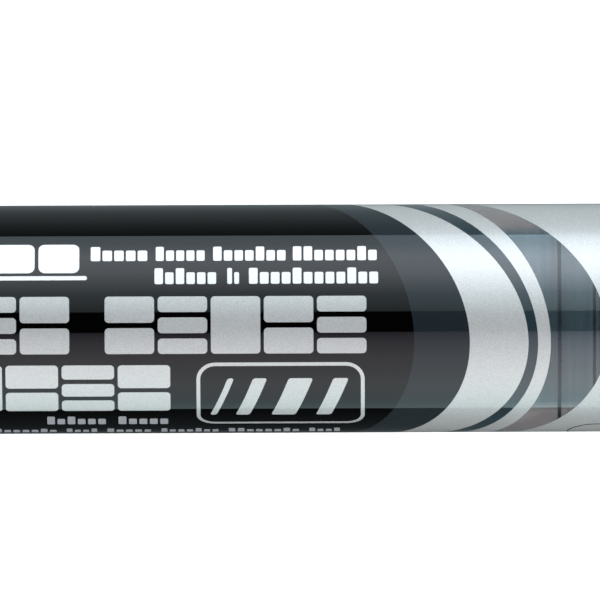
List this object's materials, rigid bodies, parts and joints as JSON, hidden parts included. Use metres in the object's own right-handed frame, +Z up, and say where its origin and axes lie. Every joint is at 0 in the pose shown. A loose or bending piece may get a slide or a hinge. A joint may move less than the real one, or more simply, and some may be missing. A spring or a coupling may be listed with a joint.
{
  "type": "whiteboard marker",
  "caption": "Push-button whiteboard marker with a pull-off cap, chisel felt nib, sprung ink valve and clear ink window.",
  "frame": {"origin": "on the surface the marker lies on, below the middle of its length and width", "axes": "+X along the marker from the cap's end to the push button, +Z up through the label's face, +Y across"},
  "size_m": [0.139, 0.0184, 0.0183],
  "materials": {
    "smoke_plastic": "clear smoke, polished",
    "label_print": "printed metallic silver and black under clear varnish",
    "black_plastic": "moulded, semi-gloss",
    "gloss_black": "polished",
    "felt": "ink-soaked polyester felt",
    "fibre": "ink-soaked fibre",
    "natural_plastic": "uncoloured moulding",
    "soft_plastic": "soft uncoloured moulding",
    "dark_plastic": "moulded",
    "black_rubber": "smooth",
    "spring_steel": "drawn wire",
    "steel": "stamped"
  },
  "bodies": {
    "barrel": {"barrel": "smoke_plastic", "label_film": "label_print", "nose": "black_plastic", "nib": "felt", "ink_buffer": "fibre", "valve_housing": "natural_plastic", "valve_seat": "black_rubber", "valve_cover": "natural_plastic", "valve_spring": "spring_steel", "rod_seal": "black_rubber", "seal_washer": "steel", "tail_plug": "dark_plastic", "tail_o_ring": "black_rubber", "button_spring": "spring_steel", "end_collar": "black_plastic"},
    "button": {"button": "black_plastic", "push_rod": "natural_plastic"},
    "valve": {"valve_poppet": "natural_plastic"},
    "cap": {"cap_shell": "black_plastic", "cap_inner": "soft_plastic", "cap_end_plug": "gloss_black"}
  },
  "joints": [
    {"name": "button_slide", "type": "slide", "parent": "barrel", "child": "button", "axis": [-1, 0, 0], "range_m": [0, 0.003], "stiffness_N_per_m": 1000, "springref_m": -0.003, "deforming": ["button_spring"]},
    {"name": "valve_slide", "type": "slide", "parent": "barrel", "child": "valve", "axis": [-1, 0, 0], "range_m": [0, 0.003], "stiffness_N_per_m": 300, "springref_m": -0.002, "deforming": ["valve_spring"]},
    {"name": "cap_pull", "type": "slide", "parent": "barrel", "child": "cap", "axis": [-1, 0, 0], "range_m": [0, 0.045]}
  ],
  "couplings": [
    {"joint": "valve_slide", "follows": "button_slide", "ratio": 1}
  ]
}
